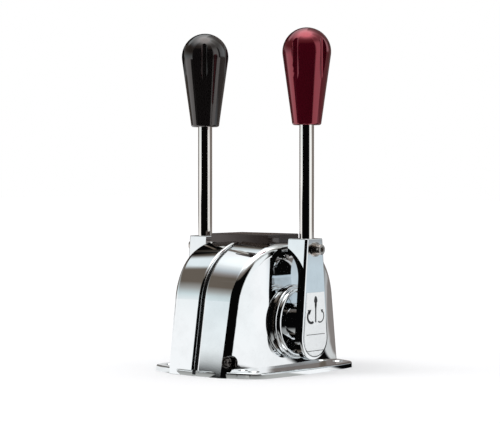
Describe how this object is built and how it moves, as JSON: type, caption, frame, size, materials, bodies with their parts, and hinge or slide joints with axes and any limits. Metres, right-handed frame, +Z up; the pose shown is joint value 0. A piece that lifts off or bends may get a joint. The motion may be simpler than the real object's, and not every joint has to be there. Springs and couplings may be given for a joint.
{
  "type": "twin-lever engine control head",
  "caption": "Top-mount twin-lever boat engine control: arched chrome housing on a flange, side hubs with tapered arms, steel rods and fluted knobs, black for shift, dark red for throttle.",
  "frame": {"origin": "centre of the base flange's underside", "axes": "+Z up from the deck, +X from the shift lever to the throttle lever, -Y towards the operator"},
  "size_m": [0.151, 0.154, 0.284],
  "materials": {
    "chrome_casting": "bright chrome plate on a polished casting",
    "cap_black": "glossy dark plastic cap",
    "black_frame": "satin black paint",
    "plated_fasteners": "nickel-plated screws and washers",
    "label_white": null,
    "bronze_bush": "sintered bronze",
    "friction_lining": "dark friction material",
    "shaft_steel": "ground stainless steel",
    "crank_steel": "zinc-plated steel",
    "stainless_rod": "polished stainless rod",
    "brass_insert": "turned brass",
    "knob_black": "glossy black moulded knob",
    "knob_red": "glossy dark red moulded knob"
  },
  "bodies": {
    "root": {"left_housing_shell": "chrome_casting", "right_housing_shell": "chrome_casting", "centre_frame": "black_frame", "top_cap": "cap_black", "cap_screws": "plated_fasteners", "tie_bolts": "plated_fasteners", "tie_nuts": "plated_fasteners", "side_screw": "plated_fasteners", "side_screw_washer": "plated_fasteners", "shift_outer_bush": "bronze_bush", "shift_inner_bush": "bronze_bush", "shift_brake_lining": "friction_lining", "throttle_outer_bush": "bronze_bush", "throttle_inner_bush": "bronze_bush", "throttle_brake_lining": "friction_lining"},
    "shift_lever": {"shift_hub": "chrome_casting", "shift_arm": "chrome_casting", "shift_arm_screws": "plated_fasteners", "shift_shaft": "shaft_steel", "shift_shaft_keys": "shaft_steel", "shift_shaft_clips": "shaft_steel", "shift_cable_crank": "crank_steel", "shift_clamp_washer": "plated_fasteners", "shift_lock_washer": "plated_fasteners", "shift_clamp_bolt": "plated_fasteners"},
    "throttle_lever": {"throttle_hub": "chrome_casting", "throttle_arm": "chrome_casting", "throttle_arm_screws": "plated_fasteners", "throttle_shaft": "shaft_steel", "throttle_shaft_keys": "shaft_steel", "throttle_shaft_clips": "shaft_steel", "throttle_cable_crank": "crank_steel", "throttle_clamp_washer": "plated_fasteners", "throttle_lock_washer": "plated_fasteners", "throttle_clamp_bolt": "plated_fasteners", "throttle_label_plate": "label_white"},
    "shift_grip": {"shift_rod": "stainless_rod", "shift_knob_insert": "brass_insert", "shift_knob": "knob_black"},
    "throttle_grip": {"throttle_rod": "stainless_rod", "throttle_knob_insert": "brass_insert", "throttle_knob": "knob_red"}
  },
  "joints": [
    {"name": "shift_swing", "type": "hinge", "parent": "root", "child": "shift_lever", "pos_m": [-0.0455, 0, 0.042], "axis": [1, 0, 0], "range_deg": [-35, 35]},
    {"name": "throttle_swing", "type": "hinge", "parent": "root", "child": "throttle_lever", "pos_m": [0.0455, 0, 0.042], "axis": [1, 0, 0], "range_deg": [-50, 50]},
    {"name": "shift_brake_twist", "type": "hinge", "parent": "shift_lever", "child": "shift_grip", "pos_m": [-0.0555, 0, 0.15], "axis": [0, 0, 1], "range_deg": [-45, 45]},
    {"name": "throttle_brake_twist", "type": "hinge", "parent": "throttle_lever", "child": "throttle_grip", "pos_m": [0.0555, 0, 0.15], "axis": [0, 0, 1], "range_deg": [-45, 45]}
  ]
}
